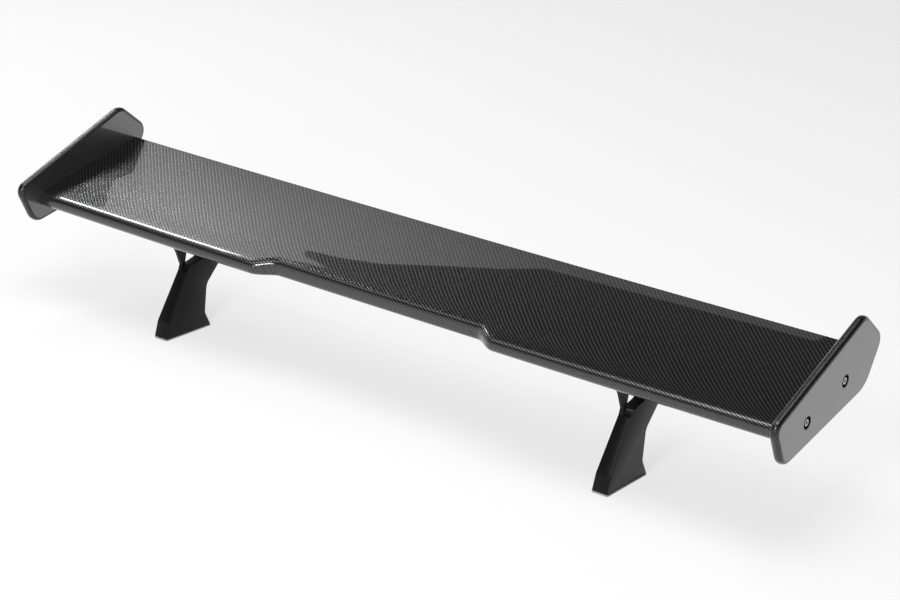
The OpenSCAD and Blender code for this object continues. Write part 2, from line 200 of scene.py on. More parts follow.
class Graph:
    """A node tree that is filled by one method."""

    def __init__(self, tree: bpy.types.NodeTree) -> None:
        """Empties a node tree.

        Args:
            tree: The tree of a material or of the world.
        """
        self.tree = tree
        tree.nodes.clear()

    def node(
        self,
        kind: str,
        settings: Optional[dict[str, Any]] = None,
        inputs: Optional[dict[Union[str, int], Any]] = None,
    ) -> Placed:
        """Adds a node.

        Args:
            kind: The node's type.
            settings: Properties of the node; "stops" is a list of (place, colour) for a ramp.
            inputs: Sockets by name or place, each with a number, a colour, a Value or a socket.

        Returns:
            The node.
        """
        node = self.tree.nodes.new(kind)
        for name, setting in (settings or {}).items():
            if name == "stops":
                self._set_stops(node.color_ramp, setting)
            else:
                setattr(node, name, setting)
        for name, given in (inputs or {}).items():
            source = given.socket if isinstance(given, Value) else given
            if isinstance(source, bpy.types.NodeSocket):
                self.tree.links.new(source, node.inputs[name])
            else:
                node.inputs[name].default_value = source
        return Placed(self, node)

    @staticmethod
    def _set_stops(ramp: bpy.types.ColorRamp, stops: Sequence[tuple[float, Any]]) -> None:
        """Sets a ramp's stops.

        Args:
            ramp: The ramp.
            stops: At least two places from 0 to 1, each with its colour.
        """
        while len(ramp.elements) < len(stops):
            ramp.elements.new(1.0)
        for element, (place, colour) in zip(ramp.elements, stops):
            element.position = place
            element.color = colour

    def noise(self, vector: bpy.types.NodeSocket, scale: float, detail: float) -> Value:
        """A noise from 0 to 1.

        Args:
            vector: Where it is sampled.
            scale: Spots per unit of the vector.
            detail: How many finer layers it has.

        Returns:
            The noise.
        """
        inputs = {"Vector": vector, "Scale": scale, "Detail": detail}
        return self.node("ShaderNodeTexNoise", {"noise_dimensions": "3D"}, inputs).value("Fac")

    def blend(self, mask: Any, here: Any, there: Any) -> bpy.types.NodeSocket:
        """Mixes two colours.

        Args:
            mask: 0 for the first colour and 1 for the second.
            here: The first colour, or its socket.
            there: The second colour, or its socket.

        Returns:
            The mixed colour's socket.
        """
        inputs = {0: mask, 6: here, 7: there}
        return self.node("ShaderNodeMix", {"data_type": "RGBA"}, inputs).output(2)

    def bump(self, height: Value, distance: float) -> bpy.types.NodeSocket:
        """Turns a height into a normal.

        Args:
            height: The height, as a share of the distance.
            distance: The height that 1 stands for, in metres.

        Returns:
            The normal's socket.
        """
        inputs = {"Height": height, "Distance": distance, "Strength": 1.0}
        return self.node("ShaderNodeBump", None, inputs).output("Normal")


def grey(level: float, tint: Point3 = (1.0, 1.0, 1.0)) -> tuple[float, float, float, float]:
    """A linear grey, with a slight tint.

    Args:
        level: The grey, from 0 to 1.
        tint: What each channel is multiplied by.

    Returns:
        The colour with an alpha of 1.
    """
    return (level * tint[0], level * tint[1], level * tint[2], 1.0)


# ------------------------------------------------------------------------------ finishes


@dataclass(frozen=True)
class Finish:
    """A finish with a name; each kind says how its surface is made."""

    name: str

    def surface(self, graph: Graph) -> bpy.types.NodeSocket:
        """Builds the surface.

        Args:
            graph: The material's empty graph.

        Returns:
            The shader's socket.
        """
        raise NotImplementedError

    def material(self) -> bpy.types.Material:
        """The finish as a material, made on first use."""
        made = bpy.data.materials.get(self.name)
        if made is None:
            made = bpy.data.materials.new(self.name)
            made.use_nodes = True
            graph = Graph(made.node_tree)
            shader = self.surface(graph)
            graph.node("ShaderNodeOutputMaterial", None, {"Surface": shader})
            LOG.info("finish %s", self.name)
        return made


@dataclass(frozen=True)
class CarbonTwill(Finish):
    """Two-by-two carbon twill under a thick clear coat; the cloth lies along the UV map, in metres.

    Attributes:
        tow: Width of one tow.
        warp: Shade of the tows that run along V; lighter than the tows along U as a painted sheen of the
            fibres.
        weft: Shade of the tows that run along U; darker than the tows along V as painted shade of the fibres.
        metal: How metallic the fibres look.
        fibre_roughness: Roughness of the fibres where they are smoothest.
        fibre_spread: How much rougher the unevenness makes them.
        crown: How high the middle of a tow stands over its edges.
        valley: Share of its shade that a tow keeps at its edges, as painted shade between the crowns.
        fuzz: How much the shade varies along the fibres.
        fuzz_scale: Spots per metre of that variation.
        coat_ior: Refractive index of the clear coat.
        coat_roughness: Roughness of the clear coat.
        wave: How far the tows stray from a straight line.
        wave_scale: Spots per metre of that straying.
        blue: What the blue channel is multiplied by.
    """

    tow: float = 0.002
    warp: float = 0.175
    weft: float = 0.012
    metal: float = 0.9
    fibre_roughness: float = 0.19
    fibre_spread: float = 0.1
    crown: float = 0.0001
    valley: float = 0.35
    fuzz: float = 0.4
    fuzz_scale: float = 420.0
    coat_ior: float = 1.44
    coat_roughness: float = 0.02
    wave: float = 0.0004
    wave_scale: float = 9.0
    blue: float = 1.02

    def surface(self, graph: Graph) -> bpy.types.NodeSocket:
        """Builds the surface.

        Args:
            graph: The material's empty graph.

        Returns:
            The shader's socket.
        """
        cloth = graph.node("ShaderNodeUVMap", {"uv_map": "cloth"}).output("UV")
        place = graph.node("ShaderNodeNewGeometry").output("Position")
        stray = (graph.noise(place, self.wave_scale, 1.0) - 0.5) * self.wave
        split = graph.node("ShaderNodeSeparateXYZ", None, {"Vector": cloth})
        across = (split.value("X") + stray) / self.tow
        along = (split.value("Y") + stray) / self.tow
        step = (across.floor() + along.floor()) % 4
        on_top = step < 1.5
        arch_warp = ((((along + across.floor()) % 4) / 2).fraction() * math.pi).sine()
        arch_weft = ((((across + along.floor()) % 4) / 2).fraction() * math.pi).sine()
        crown_warp = (across.fraction() * math.pi).sine()
        crown_weft = (along.fraction() * math.pi).sine()
        height = on_top.choose(crown_warp * arch_warp, crown_weft * arch_weft)
        uneven = graph.noise(place, self.fuzz_scale, 2.0)
        # Painted shade: each tow's colour darkens from its crown towards its edges, where the tows dip under
        # each other.
        lit = self.valley + (1.0 - self.valley) * height
        # Painted light: the tows along V take a painted sheen and the tows along U a painted shade, through
        # their two shades.
        level = on_top.choose(self.warp, self.weft) * lit * (1.0 + self.fuzz * (uneven - 0.5))
        colour = graph.node("ShaderNodeCombineColor", None, {0: level, 1: level, 2: level * self.blue})
        inputs = {
            "Base Color": colour.output(),
            "Metallic": self.metal,
            "Roughness": self.fibre_roughness + self.fibre_spread * uneven,
            "Normal": graph.bump(height, self.crown),
            "Coat Weight": 1.0,
            "Coat Roughness": self.coat_roughness,
            "Coat IOR": self.coat_ior,
        }
        return graph.node("ShaderNodeBsdfPrincipled", None, inputs).output()


@dataclass(frozen=True)
class Lacquer(Finish):
    """A lacquer or a plain moulded surface, slightly uneven in its shade and gloss.

    Attributes:
        level: Its grey.
        roughness: Its mean roughness.
        grain: Depth of the grain.
        grain_scale: Spots per metre of the grain.
        patch_scale: Spots per metre of the unevenness.
        shade_spread: How far the grey strays from its mean, as a share of it.
        gloss_spread: How far the roughness strays between the patches.
        ior: Refractive index.
        tint: What each channel is multiplied by.
    """

    level: float
    roughness: float
    grain: float
    grain_scale: float = 900.0
    patch_scale: float = 35.0
    shade_spread: float = 0.15
    gloss_spread: float = 0.08
    ior: float = 1.45
    tint: Point3 = (1.0, 1.0, 1.0)

    def surface(self, graph: Graph) -> bpy.types.NodeSocket:
        """Builds the surface.

        Args:
            graph: The material's empty graph.

        Returns:
            The shader's socket.
        """
        place = graph.node("ShaderNodeNewGeometry").output("Position")
        broad = graph.noise(place, self.patch_scale, 3.0)
        fine = graph.noise(place, self.grain_scale, 2.0)
        darker = grey(self.level * (1.0 - self.shade_spread), self.tint)
        lighter = grey(self.level * (1.0 + self.shade_spread), self.tint)
        inputs = {
            "Base Color": graph.blend(broad, darker, lighter),
            "Roughness": self.roughness + self.gloss_spread * (broad - 0.5),
            "Normal": graph.bump(fine, self.grain),
            "IOR": self.ior,
        }
        return graph.node("ShaderNodeBsdfPrincipled", None, inputs).output()


@dataclass(frozen=True)
class Turned(Finish):
    """Bare turned metal with a fine grain, and with patches that are lighter and rougher.

    Attributes:
        colour: Its lightest colour.
        roughness: Its roughness where it is smoothest.
        dark: Share of the colour that the darkest places keep.
        frost: How much rougher the lightest places are.
        patch_scale: Spots per metre of the patches.
        grain: Depth of the grain.
        grain_scale: Spots per metre of the grain.
    """

    colour: Point3
    roughness: float
    dark: float = 0.7
    frost: float = 0.15
    patch_scale: float = 160.0
    grain: float = 0.00001
    grain_scale: float = 2200.0

    def surface(self, graph: Graph) -> bpy.types.NodeSocket:
        """Builds the surface.

        Args:
            graph: The material's empty graph.

        Returns:
            The shader's socket.
        """
        place = graph.node("ShaderNodeNewGeometry").output("Position")
        fine = graph.noise(place, self.grain_scale, 1.0)
        patch = graph.noise(place, self.patch_scale, 3.0)
        inputs = {
            "Base Color": graph.blend(patch, grey(self.dark, self.colour), grey(1.0, self.colour)),
            "Metallic": 1.0,
            "Roughness": self.roughness + self.frost * patch,
            "Normal": graph.bump(fine, self.grain),
        }
        return graph.node("ShaderNodeBsdfPrincipled", None, inputs).output()


@dataclass(frozen=True)
class StudioFloor(Finish):
    """A white floor that keeps a faint shadow.

    Attributes:
        level: Its grey.
        cloud: Share of the grey that its duller patches keep.
        cloud_scale: Spots per metre of those patches.
        lift: Share of plain white in what is seen of it.
    """

    level: float = 0.95
    cloud: float = 0.985
    cloud_scale: float = 3.0
    lift: float = 0.7

    def surface(self, graph: Graph) -> bpy.types.NodeSocket:
        """Builds the surface.

        Args:
            graph: The material's empty graph.

        Returns:
            The shader's socket.
        """
        path = graph.node("ShaderNodeLightPath")
        camera, glossy = path.value("Is Camera Ray"), path.value("Is Glossy Ray")
        seen = camera.most(glossy).most(path.value("Is Transmission Ray"))
        place = graph.node("ShaderNodeNewGeometry").output("Position")
        soft = graph.noise(place, self.cloud_scale, 1.0)
        tone = graph.blend(soft, grey(self.level), grey(self.level * self.cloud))
        plain = graph.node("ShaderNodeBsdfDiffuse", None, {"Color": tone}).output()
        glow = graph.node("ShaderNodeEmission", None, {"Color": grey(1.0), "Strength": 1.0}).output()
        return graph.node("ShaderNodeMixShader", None, {0: seen * self.lift, 1: plain, 2: glow}).output()


# Each twill's warp shade carries a painted sheen of the fibres, and its weft shade a painted shade.
WING_TWILL = CarbonTwill("wing_twill")
PLATE_TWILL = CarbonTwill("plate_twill", warp=0.19, weft=0.175, fibre_roughness=0.35, coat_ior=1.7)
RIM_TWILL = CarbonTwill(
    "rim_twill", warp=0.09, weft=0.012, tow=0.0014, coat_ior=1.35, coat_roughness=0.25, wave=0.0016)
SATIN_BLACK = Lacquer("satin_black", level=0.006, roughness=0.36, grain=0.000012, ior=1.25)
STAINLESS = Turned("stainless", (0.60, 0.61, 0.63), 0.22)
BRASS = Turned("brass", (0.70, 0.56, 0.30), 0.3)
PAD_RUBBER = Lacquer("pad_rubber", level=0.025, roughness=0.75, grain=0.00008, grain_scale=700.0)
GASKET_FOAM = Lacquer("gasket_foam", level=0.42, roughness=0.85, grain=0.00012, grain_scale=1400.0)
GLASS_LAMINATE = Lacquer("glass_laminate", level=0.28, roughness=0.6, grain=0.00006, tint=(1.0, 0.97, 0.82))
FLOOR_WHITE = StudioFloor("floor_white")

NODE_FINISHES: dict[str, tuple[Finish, str]] = {
    "front_spar": (GLASS_LAMINATE, "laminate"),
    "rear_spar": (GLASS_LAMINATE, "laminate"),
    "tip_rib": (GLASS_LAMINATE, "laminate"),
    "inner_ribs": (GLASS_LAMINATE, "laminate"),
    "stand_block": (GLASS_LAMINATE, "laminate"),
    "tip_inserts": (BRASS, "brass"),
    "stand_inserts": (BRASS, "brass"),
    "foot_inserts": (BRASS, "brass"),
    "stand_washers": (STAINLESS, "steel"),
    "stand_bolts": (STAINLESS, "steel"),
    "plate_cup_washers": (SATIN_BLACK, "stand_black"),
    "plate_screws": (STAINLESS, "steel"),
    "saddle_pad": (PAD_RUBBER, "rubber"),
    "foot_gasket": (GASKET_FOAM, "gasket"),
    "stand": (SATIN_BLACK, "stand_black"),
}


# ------------------------------------------------------------------------------ mesh helpers


def new_piece(name: str, mesh: bpy.types.Mesh, slot: str, *replaced: str) -> bpy.types.Object:
    """Makes an object that rides on the wing and stands for some solids.

    Args:
        name: The piece's name.
        mesh: Its mesh, in the frame.
        slot: The record's material slot; not used.
        replaced: The solids that it stands for.

    Returns:
        The object.
    """
    piece = bpy.data.objects.new(name, mesh)
    bpy.context.scene.collection.objects.link(piece)
    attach(piece, BODY)
    if replaced:
        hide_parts(*replaced)
    LOG.info("piece %s, %d faces", name, len(mesh.polygons))
    return piece


def apply_modifiers(piece: bpy.types.Object) -> None:
    """Bakes a piece's modifiers into its mesh.

    Args:
        piece: The object, which has no modifier afterwards.
    """
    bpy.context.view_layer.update()
    shown = piece.evaluated_get(bpy.context.evaluated_depsgraph_get())
    mesh = bpy.data.meshes.new_from_object(shown)
    piece.modifiers.clear()
    piece.data = mesh


def shade(mesh: bpy.types.Mesh, crease: float) -> None:
    """Smooths a mesh except across its sharp edges.

    Args:
        mesh: The mesh.
        crease: The least angle of a sharp edge, in degrees.
    """
    mesh.shade_smooth()
    mesh.set_sharp_from_angle(angle=math.radians(crease))


# ------------------------------------------------------------------------------ wing


@dataclass
class Wing:
    """The hollow aerofoil, which is bowed forward in the middle and has a recess in its nose.

    Attributes:
        chord: Distance from the nose to the trailing edge.
        pitch: How far the section is turned nose down, in radians.
        nose_z: Height of the nose.
        nose_ahead: How far the nose stands ahead of the origin at the tips.
        thickness: Greatest thickness of the section.
        thickest_at: Where it is thickest, as a fraction of the chord.
        nose_power: Fullness of the lower skin's nose.
        nose_blunt: Fullness of the upper skin's nose.
        camber: How far the mean line hangs below the chord.
        tail: Thickness of the trailing edge.
        wall: Wall of the skins.
        edge_share: Half the thickness of the section where the hollow ends, as a share of the wall.
        bow: How far the middle is bowed ahead.
        recess_depth: How far the middle of the nose is set back.
        recess_half: Half the length that is set back all the way.
        recess_sweep: Length over which the nose sweeps back.
        recess_reach: Where the recess runs out, as a fraction of the chord.
        recess_thin: Share of its thickness that the set-back nose loses in the lower skin.
        nose_shear: Slope of the cloth at the nose, along the span.
        shear_reach: How far behind the nose the slope fades.
        tip_x: Distance of the tips from the middle.
        crease: Least angle of a sharp edge, in degrees.
        chord_steps: Steps along the chord.
        span_steps: Steps in half the middle, in the sweep and outside it.
    """

    chord: float = 0.240
    pitch: float = math.radians(16.0)
    nose_z: float = 0.1736
    nose_ahead: float = 0.059
    thickness: float = 0.0286
    thickest_at: float = 0.3
    nose_power: float = 6.0
    nose_blunt: float = 13.0
    camber: float = 0.0036
    tail: float = 0.003
    wall: float = 0.002
    edge_share: float = 1.3
    bow: float = 0.0074
    recess_depth: float = 0.023
    recess_half: float = 0.190
    recess_sweep: float = 0.044
    recess_reach: float = 0.4
    recess_thin: float = 0.25
    nose_shear: float = 1.5
    shear_reach: float = 0.024
    tip_x: float = field(default_factory=lambda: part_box(Skin.UPPER.node)[1].x)
    crease: float = 40.0
    chord_steps: int = 56
    span_steps: tuple[int, int, int] = (18, 24, 48)

    def bow_at(self, x: float) -> float:
        """How far the section at x is moved ahead by the bow."""
        return self.bow * (1.0 - (x / self.tip_x) ** 2)

    def on_section(self, x: float, run: float, rise: float) -> Vector:
        """A place in the section at x, as Y and Z, without the recess.

        Args:
            x: Place along the span.
            run: Distance along the chord.
            rise: Height above the chord.

        Returns:
            The place.
        """
        along = Vector((math.cos(self.pitch), math.sin(self.pitch)))
        up = Vector((-along.y, along.x))
        return Vector((-self.nose_ahead - self.bow_at(x), self.nose_z)) + along * run + up * rise

    def recess_share(self, x: float, s: float) -> float:
        """How much of the recess is felt at x and at a fraction of the chord: all of it is 1."""
        part = min(1.0, max(0.0, (abs(x) - self.recess_half) / self.recess_sweep))
        across = 1.0 - part * part * (3.0 - 2.0 * part)
        return across * max(0.0, 1.0 - s / self.recess_reach) ** 2

    @staticmethod
    def roundness(part: float, power: float) -> float:
        """How full the nose is, from 0 at its tip to 1 where the section is thickest.

        Args:
            part: Share of the way from the tip of the nose.
            power: The greater it is, the blunter the nose.

        Returns:
            The share of the full thickness.
        """
        return math.sqrt(max(0.0, 1.0 - (1.0 - part) ** power))

    def half_thickness(self, s: float) -> float:
        """Half the thickness at a fraction of the chord, without the recess."""
        if s < self.thickest_at:
            return self.thickness / 2 * self.roundness(s / self.thickest_at, self.nose_power)
        part = (s - self.thickest_at) / (1.0 - self.thickest_at)
        return self.tail / 2 + (self.thickness - self.tail) / 2 * (1.0 - part * part)

    def point(self, x: float, s: float, skin: Skin, depth: float) -> Point3:
        """A point of a skin.

        Args:
            x: Place along the span.
            s: Fraction of the chord.
            skin: Which skin.
            depth: How far inside the outer face; half the thickness is the mean line.

        Returns:
            The point.
        """
        if skin is Skin.UPPER:
            return self.upper_point(x, s, depth)
        share = self.recess_share(x, s)
        half = self.half_thickness(s) * (1.0 - self.recess_thin * share)
        rise = self.mean_line(s) + skin.value * max(0.0, half - depth)
        spot = self.on_section(x, s * self.chord, rise)
        return (x, spot.x + self.recess_depth * share, spot.y)

    def mean_line(self, s: float) -> float:
        """How far the mean line stands above the chord at a fraction of it."""
        return -4.0 * self.camber * s * (1.0 - s)

    def upper_point(self, x: float, s: float, depth: float) -> Point3:
        """A point of the upper skin, which runs level across the recess and rounds over at its edge.

        Args:
            x: Place along the span.
            s: Fraction of the way from the nose to the trailing edge.
            depth: How far inside the outer face.

        Returns:
            The point.
        """
        share = self.recess_share(x, 0.0)
        start = share * self.recess_depth / (self.chord * math.cos(self.pitch))
        place = start + (1.0 - start) * s
        part = min(1.0, (place - start) / (self.thickest_at - start))
        fullness = self.roundness(part, self.nose_blunt)
        half = self.thickness / 2 * fullness if part < 1.0 else self.half_thickness(place)
        spot = self.on_section(x, place * self.chord, self.mean_line(place) + max(0.0, half - depth))
        nose = self.on_section(x, 0.0, 0.0) + Vector((self.recess_depth * share, 0.0))
        drawn = nose - self.on_section(x, start * self.chord, self.mean_line(start))
        spot += drawn * (1.0 - fullness)
        return (x, spot.x, spot.y)

    def fractions(self, first: float, last: float) -> list[float]:
        """Fractions of the chord between two ends, close together at the nose.

        Args:
            first: The end near the nose.
            last: The end near the trailing edge.

        Returns:
            The fractions, in order.
        """
        turns = [0.5 * math.pi * i / self.chord_steps for i in range(self.chord_steps + 1)]
        return [first + (last - first) * (1.0 - math.cos(turn)) for turn in turns]

    def hollow_end(self) -> float:
        """The fraction of the chord where the walls of the two skins meet."""
        excess = self.edge_share * self.wall - self.tail / 2
        drop = 1.0 - excess / ((self.thickness - self.tail) / 2)
        return self.thickest_at + (1.0 - self.thickest_at) * math.sqrt(drop)

    def ring(self, x: float, skin: Skin) -> Ring:
        """The closed ring of a skin in the section at x, outer face first.

        Args:
            x: Place along the span.
            skin: Which skin.

        Returns:
            The ring's points.
        """
        end = self.hollow_end()
        start = 2 * self.wall / self.chord
        outer = [self.point(x, s, skin, 0.0) for s in self.fractions(0.0, 1.0)]
        inner = [self.point(x, s, skin, self.wall) for s in self.fractions(start, end)]
        tail = [self.point(x, 1.0, skin, self.tail / 2)]
        return outer + tail + inner[::-1]

    def stations(self) -> list[float]:
        """Places along the span where a section is drawn, close together at the recess."""
        ends = (0.0, self.recess_half, self.recess_half + self.recess_sweep, self.tip_x)
        half = []
        for start, stop, steps in zip(ends, ends[1:], self.span_steps):
            half += [start + (stop - start) * i / steps for i in range(steps)]
        half.append(self.tip_x)
        return [-x for x in half[:0:-1]] + half

    def skin_mesh(self, skin: Skin) -> bpy.types.Mesh:
        """Lofts a skin and lays the cloth on it, measured from the trailing edge.

        Args:
            skin: Which skin.

        Returns:
            The mesh.
        """
        stations = self.stations()
        rings = [self.ring(x, skin) for x in stations]
        count = len(rings[0])
        mesh = bpy.data.meshes.new(skin.node)
        work = bmesh.new()
        layer = work.loops.layers.uv.new("cloth")
        rows = [[work.verts.new(p) for p in ring] for ring in rings]
        lengths = [self._lengths(ring) for ring in rings]
        cloth = {
            vert: (x - self.shear(length - values[0]), length)
            for x, row, values in zip(stations, rows, lengths)
            for vert, length in zip(row, values)
        }
        for here, there in zip(rows, rows[1:]):
            for i in range(count):
                k = (i + 1) % count
                work.faces.new((here[i], there[i], there[k], here[k]))
        work.faces.new(rows[0])
        work.faces.new(rows[-1][::-1])
        bmesh.ops.recalc_face_normals(work, faces=work.faces)
        for face in work.faces:
            for loop in face.loops:
                loop[layer].uv = cloth[loop.vert]
        work.to_mesh(mesh)
        work.free()
        shade(mesh, self.crease)
        return mesh

    def shear(self, run: float) -> float:
        """How far the cloth is pulled along the span at a distance behind the nose."""
        return self.nose_shear * self.shear_reach * math.exp(-run / self.shear_reach)

    def _lengths(self, ring: Ring) -> list[float]:
        """Distances along the outer face from the trailing edge, which are negative.

        Args:
            ring: A ring of a skin.

        Returns:
            One distance for each point; the inner face takes those of the outer.
        """
        outer = [Vector(p) for p in ring[: self.chord_steps + 1]]
        total, lengths = 0.0, [0.0]
        for here, there in zip(outer[::-1], outer[-2::-1]):
            total += (there - here).length
            lengths.append(-total)
        lengths.reverse()
        return lengths + [0.0] + lengths[::-1]

    def dress(self) -> None:
        """Replaces both skins by smooth ones in clear-coated twill."""
        for skin in Skin:
            piece = new_piece(f"smooth_{skin.node}", self.skin_mesh(skin), "carbon", skin.node)
            piece.data.materials.append(WING_TWILL.material())


# ------------------------------------------------------------------------------ carried-over solids


@dataclass
class Solids:
    """The solids whose shape is kept: each takes its finish, and the ones in view take eased edges.

    Attributes:
        eased: Width of the rounded arrises, by family of solids.
        same_place: Vertices closer than this are one.
        same_face: Faces that meet at less than this are one, in degrees.
        arris: Least angle of an edge that is rounded, in degrees.
        crease: Least angle of a sharp edge, in degrees.
    """

    eased: dict[str, float] = field(default_factory=lambda: {"stand": 0.0009, "foot_gasket": 0.0004})
    same_place: float = 0.00001
    same_face: float = 0.5
    arris: float = 28.0
    crease: float = 35.0

    @staticmethod
    def family(node: str) -> str:
        """A node's name without its side."""
        for side in Side:
            node = node.removesuffix(f"_{side.word}")
        return node

    def ease(self, node: str, width: float, slot: str) -> bpy.types.Object:
        """Makes a copy of a solid with rounded arrises.

        Args:
            node: The solid.
            width: The width of the rounding.
            slot: The record's material slot.

        Returns:
            The piece that stands for the solid.
        """
        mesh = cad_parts[node].data.copy()
        work = bmesh.new()
        work.from_mesh(mesh)
        bmesh.ops.remove_doubles(work, verts=work.verts, dist=self.same_place)
        bmesh.ops.dissolve_limit(
            work, angle_limit=math.radians(self.same_face), verts=work.verts, edges=work.edges)
        work.to_mesh(mesh)
        work.free()
        mesh.materials.clear()
        piece = new_piece(f"eased_{node}", mesh, slot, node)
        bevel = piece.modifiers.new("arris", "BEVEL")
        bevel.width = width
        bevel.segments = 2
        bevel.limit_method = "ANGLE"
        bevel.angle_limit = math.radians(self.arris)
        apply_modifiers(piece)
        shade(piece.data, self.crease)
        return piece

    def dress(self, done: Iterable[str]) -> None:
        """Gives every solid that is still shown its finish.

        Args:
            done: The solids that other pieces stand for.
        """
        for node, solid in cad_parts.items():
            if node in done:
                continue
            family = self.family(node)
            finish, slot = NODE_FINISHES[family]
            piece = solid
            if family in self.eased:
                piece = self.ease(node, self.eased[family], slot)
            piece.data.materials.clear()
            piece.data.materials.append(finish.material())
            LOG.info("finish of %s: %s", node, finish.name)


# ------------------------------------------------------------------------------ end plates


@dataclass
class EndPlates:
    """The two angular end plates, with a rounded rim and a recess around each screw.

    Attributes:
        wing: The wing that they close.
        thickness: Their thickness.
        rim: Rounding along the rim.
        brow: Front top corner, from the nose, as Y and Z.
        toe: Front lower corner, from the nose.
        heel: Rear lower corner, from the trailing edge.
        tail: Rear corner, from the trailing edge.
        crest: Rear top corner, from the trailing edge.
        radii: Radii of these corners, in this order.
        screws: Places of the screws, behind the nose along the chord.
        screw_radius: Radius of a screw's hole.
        cup: Radius of the recess around a screw.
        cup_depth: Depth of that recess.
        crease: Least angle of a sharp edge, in degrees.
        rim_steps: Steps around a quarter of the rim.
        corner_steps: Steps around a corner.
    """

    wing: Wing
    thickness: float = 0.014
    rim: float = 0.006
    brow: Point2 = (-0.046, 0.031)
    toe: Point2 = (-0.009, -0.038)
    heel: Point2 = (-0.010, -0.054)
    tail: Point2 = (0.029, 0.016)
    crest: Point2 = (-0.035, 0.064)
    radii: tuple[float, ...] = (0.017, 0.026, 0.046, 0.022, 0.026)
    screws: tuple[float, float] = (0.0485, 0.157)
    screw_radius: float = 0.0033
    cup: float = 0.010
    cup_depth: float = 0.008
    crease: float = 30.0
    rim_steps: int = 6
    corner_steps: int = 12

    def corners(self) -> list[Vector]:
        """The sharp corners of the outline, as Y and Z: brow, toe, heel, tail and crest."""
        nose = self.wing.on_section(self.wing.tip_x, 0.0, 0.0)
        tail = self.wing.on_section(self.wing.tip_x, self.wing.chord, 0.0)
        ahead = [nose + Vector(offset) for offset in (self.brow, self.toe)]
        return ahead + [tail + Vector(offset) for offset in (self.heel, self.tail, self.crest)]

    def outline(self, inset: float) -> list[tuple[Vector, float]]:
        """The outline moved inwards, with the distance along the full outline at each point.

        Args:
            inset: How far inwards, up to the smallest corner radius.

        Returns:
            Points as Y and Z, each with its distance.
        """
        corners = self.corners()
        count = len(corners)
        points: list[Vector] = []
        marks: list[Vector] = []
        for i, corner in enumerate(corners):
            before = (corners[i - 1] - corner).normalized()
            after = (corners[(i + 1) % count] - corner).normalized()
            half = before.angle(after) / 2
            centre = corner + (before + after).normalized() * self.radii[i] / math.sin(half)
            start = -Vector((before.y, -before.x))
            if start.dot(corner - centre) < 0:
                start = -start
            turn = math.pi - 2 * half
            way = 1.0 if before.x * after.y - before.y * after.x < 0 else -1.0
            for j in range(self.corner_steps + 1):
                angle = way * turn * j / self.corner_steps
                spoke = Vector((
                    start.x * math.cos(angle) - start.y * math.sin(angle),
                    start.x * math.sin(angle) + start.y * math.cos(angle)))
                points.append(centre + spoke * (self.radii[i] - inset))
                marks.append(centre + spoke * self.radii[i])
        total, run = 0.0, [0.0]
        for here, there in zip(marks, marks[1:]):
            total += (there - here).length
            run.append(total)
        return list(zip(points, run))

    def profile(self) -> list[Point2]:
        """Steps around the rim from one face to the other, as height above the mid plane and inset."""
        arc = [0.5 * math.pi * i / self.rim_steps for i in range(self.rim_steps + 1)]
        top = self.thickness / 2 - self.rim
        upper = [(top + self.rim * math.cos(a), self.rim * (1.0 - math.sin(a))) for a in arc]
        return upper + [(-h, inset) for h, inset in upper[::-1]]

    def mesh(self, side: Side) -> bpy.types.Mesh:
        """Builds one plate with its cloth laid over faces and rim.

        Args:
            side: Which plate.

        Returns:
            The mesh, without the recesses of the screws.
        """
        middle = side.value * (self.wing.tip_x + self.thickness / 2)
        mesh = bpy.data.meshes.new(f"end_plate_{side.word}")
        work = bmesh.new()
        layer = work.loops.layers.uv.new("cloth")
        rows, spots = [], {}
        girth = 0.0
        last: Optional[Point2] = None
        for height, inset in self.profile():
            if last is not None:
                girth += math.hypot(height - last[0], inset - last[1])
            last = (height, inset)
            row = []
            for spot, run in self.outline(inset):
                vert = work.verts.new((middle + side.value * height, spot.x, spot.y))
                spots[vert] = (run, girth)
                row.append(vert)
            rows.append(row)
        count = len(rows[0])
        rim = set()
        for here, there in zip(rows, rows[1:]):
            for i in range(count):
                k = (i + 1) % count
                rim.add(work.faces.new((here[i], here[k], there[k], there[i])))
        work.faces.new(rows[0][::-1])
        work.faces.new(rows[-1])
        bmesh.ops.recalc_face_normals(work, faces=work.faces)
        for face in work.faces:
            face.material_index = 1 if face in rim else 0
            for loop in face.loops:
                if face in rim:
                    loop[layer].uv = spots[loop.vert]
                else:
                    loop[layer].uv = (loop.vert.co.y, loop.vert.co.z)
        work.to_mesh(mesh)
        work.free()
        return mesh

    def cut_recesses(self, piece: bpy.types.Object, side: Side) -> None:
        """Cuts the recess and the hole of each screw.

        Args:
            piece: The plate.
            side: Which plate.
        """
        outer = side.value * (self.wing.tip_x + self.thickness)
        through = 1.2 * self.thickness
        for run in self.screws:
            spot = self.wing.on_section(self.wing.tip_x, run, 0.0)
            for radius, depth in ((self.cup, self.cup_depth), (self.screw_radius, through)):
                tool = round_tool(radius, 2 * depth, Vector((outer, *spot)))
                cut = piece.modifiers.new("recess", "BOOLEAN")
                cut.operation = "DIFFERENCE"
                cut.solver = "EXACT"
                cut.object = tool
                apply_modifiers(piece)
                bpy.data.objects.remove(tool)

    def dress(self) -> None:
        """Replaces both plates."""
        for side in Side:
            node = f"end_plate_{side.word}"
            piece = new_piece(f"smooth_{node}", self.mesh(side), "carbon", node)
            piece.data.materials.append(PLATE_TWILL.material())
            piece.data.materials.append(RIM_TWILL.material())
            self.cut_recesses(piece, side)
            shade(piece.data, self.crease)
            weigh = piece.modifiers.new("flat_faces", "WEIGHTED_NORMAL")
            weigh.keep_sharp = True
            weigh.weight = 100
            apply_modifiers(piece)


